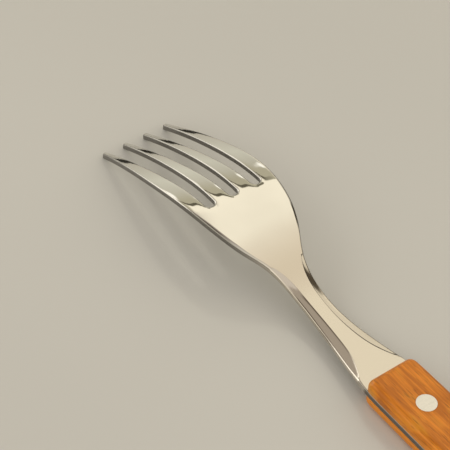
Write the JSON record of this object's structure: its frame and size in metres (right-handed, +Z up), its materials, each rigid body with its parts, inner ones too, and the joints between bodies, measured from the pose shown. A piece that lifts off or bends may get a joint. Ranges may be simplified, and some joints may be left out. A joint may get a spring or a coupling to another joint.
{
  "type": "table fork",
  "caption": "Table fork, back up, with a mirror-polished steel head, a waisted bevelled neck and a full tang riveted between wooden handle scales.",
  "frame": {"origin": "on the rest plane, midway between the tine tips and the butt of the handle, on the fork's centre plane", "axes": "+X along the fork from the tine tips to the butt, +Y across it, +Z up out of the convex back"},
  "size_m": [0.19, 0.0256, 0.0154],
  "materials": {
    "steel": "mirror-polished stainless steel",
    "wood": "oiled orange-brown hardwood with a soft sheen",
    "rivet": "polished stainless steel, ground flush with the wood"
  },
  "bodies": {
    "root": {"fork_blank": "steel", "lower_scale": "wood", "upper_scale": "wood", "rivet_tube_1": "rivet", "rivet_tube_2": "rivet", "rivet_tube_3": "rivet", "rivet_post_1": "rivet", "rivet_post_2": "rivet", "rivet_post_3": "rivet"}
  },
  "joints": []
}
